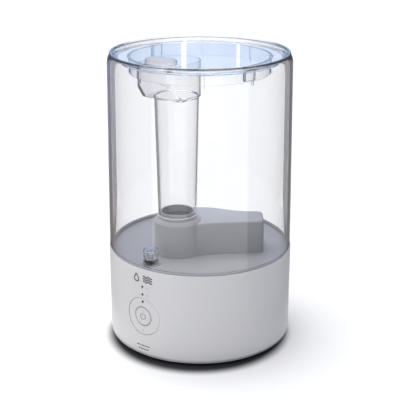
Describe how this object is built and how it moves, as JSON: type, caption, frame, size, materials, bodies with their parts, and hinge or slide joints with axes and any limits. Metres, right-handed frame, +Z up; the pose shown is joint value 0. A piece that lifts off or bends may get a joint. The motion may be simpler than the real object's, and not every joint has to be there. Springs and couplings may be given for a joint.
{
  "type": "cool mist humidifier",
  "caption": "Cylindrical ultrasonic humidifier: white base with a round power button, clear lift-off tank with a mist tube, and a recessed clear lid with a mist nozzle.",
  "frame": {"origin": "on the surface that it stands on, under the middle of the base", "axes": "+Z up, control panel facing -Y, mist nozzle at the same side"},
  "size_m": [0.19, 0.19, 0.3005],
  "materials": {
    "white_plastic": "satin moulded white plastic",
    "trough_plastic": "matt moulded white plastic",
    "grey_plastic": "satin grey plastic, slightly blue",
    "clear_plastic": "clear polished styrene",
    "frosted_plastic": "frosted clear plastic",
    "black_rubber": "matt moulded rubber",
    "silicone": "translucent silicone",
    "steel": "plain zinc-plated steel",
    "brass": "thin nickel-brass disc",
    "circuit_board": "green solder mask",
    "dark_plastic": "dark moulded plastic",
    "lens": "smoked light pipe",
    "float_foam": "closed-cell float"
  },
  "bodies": {
    "base": {"base_housing": "white_plastic", "bottom_cover": "white_plastic", "foot_1": "black_rubber", "foot_2": "black_rubber", "foot_3": "black_rubber", "foot_4": "black_rubber", "cover_screw_1": "steel", "cover_screw_2": "steel", "cover_screw_3": "steel", "cover_screw_4": "steel", "water_trough": "trough_plastic", "float_cap": "silicone", "transducer_seal": "silicone", "transducer_disc": "brass", "transducer_clamp": "steel", "clamp_screw_1": "steel", "clamp_screw_2": "steel", "clamp_screw_3": "steel", "driver_board": "circuit_board", "driver_heat_sink": "steel", "fan_frame": "dark_plastic", "fan_screw_1": "steel", "fan_screw_2": "steel", "fan_screw_3": "steel", "fan_screw_4": "steel", "control_bezel": "white_plastic", "lamp_lens_1": "lens", "lamp_lens_2": "lens", "lamp_lens_3": "lens", "control_board": "circuit_board", "button_switch": "dark_plastic", "power_inlet": "dark_plastic"},
    "button": {"power_button": "white_plastic"},
    "float": {"float": "float_foam"},
    "fan": {"fan_rotor": "dark_plastic"},
    "tank": {"tank_wall": "clear_plastic", "tank_floor": "grey_plastic", "mist_tube": "clear_plastic", "tube_gasket": "silicone", "valve_cage": "clear_plastic", "valve_spring": "steel"},
    "valve": {"valve_plunger": "white_plastic", "valve_seal": "black_rubber"},
    "lid": {"lid": "clear_plastic", "mist_hood": "clear_plastic", "mist_nozzle": "frosted_plastic"}
  },
  "joints": [
    {"name": "tank_lift", "type": "slide", "parent": "base", "child": "tank", "axis": [0, 0, 1], "range_m": [0, 0.12]},
    {"name": "lid_lift", "type": "slide", "parent": "tank", "child": "lid", "axis": [0, 0, 1], "range_m": [0, 0.06]},
    {"name": "valve_close", "type": "slide", "parent": "tank", "child": "valve", "axis": [0, 0, -1], "range_m": [0, 0.002], "deforming": ["valve_spring"]},
    {"name": "button_press", "type": "slide", "parent": "base", "child": "button", "axis": [0, 1, 0], "range_m": [0, 0.0007], "stiffness_N_per_m": 400, "springref_m": -0.0005},
    {"name": "float_rise", "type": "slide", "parent": "base", "child": "float", "axis": [0, 0, 1], "range_m": [0, 0.005]},
    {"name": "fan_spin", "type": "hinge", "parent": "base", "child": "fan", "pos_m": [0.04816, 0.01751, 0.049], "axis": [0, 0, 1], "continuous": true}
  ],
  "couplings": [
    {"joint": "valve_close", "follows": "tank_lift", "ratio": 0.016667}
  ]
}
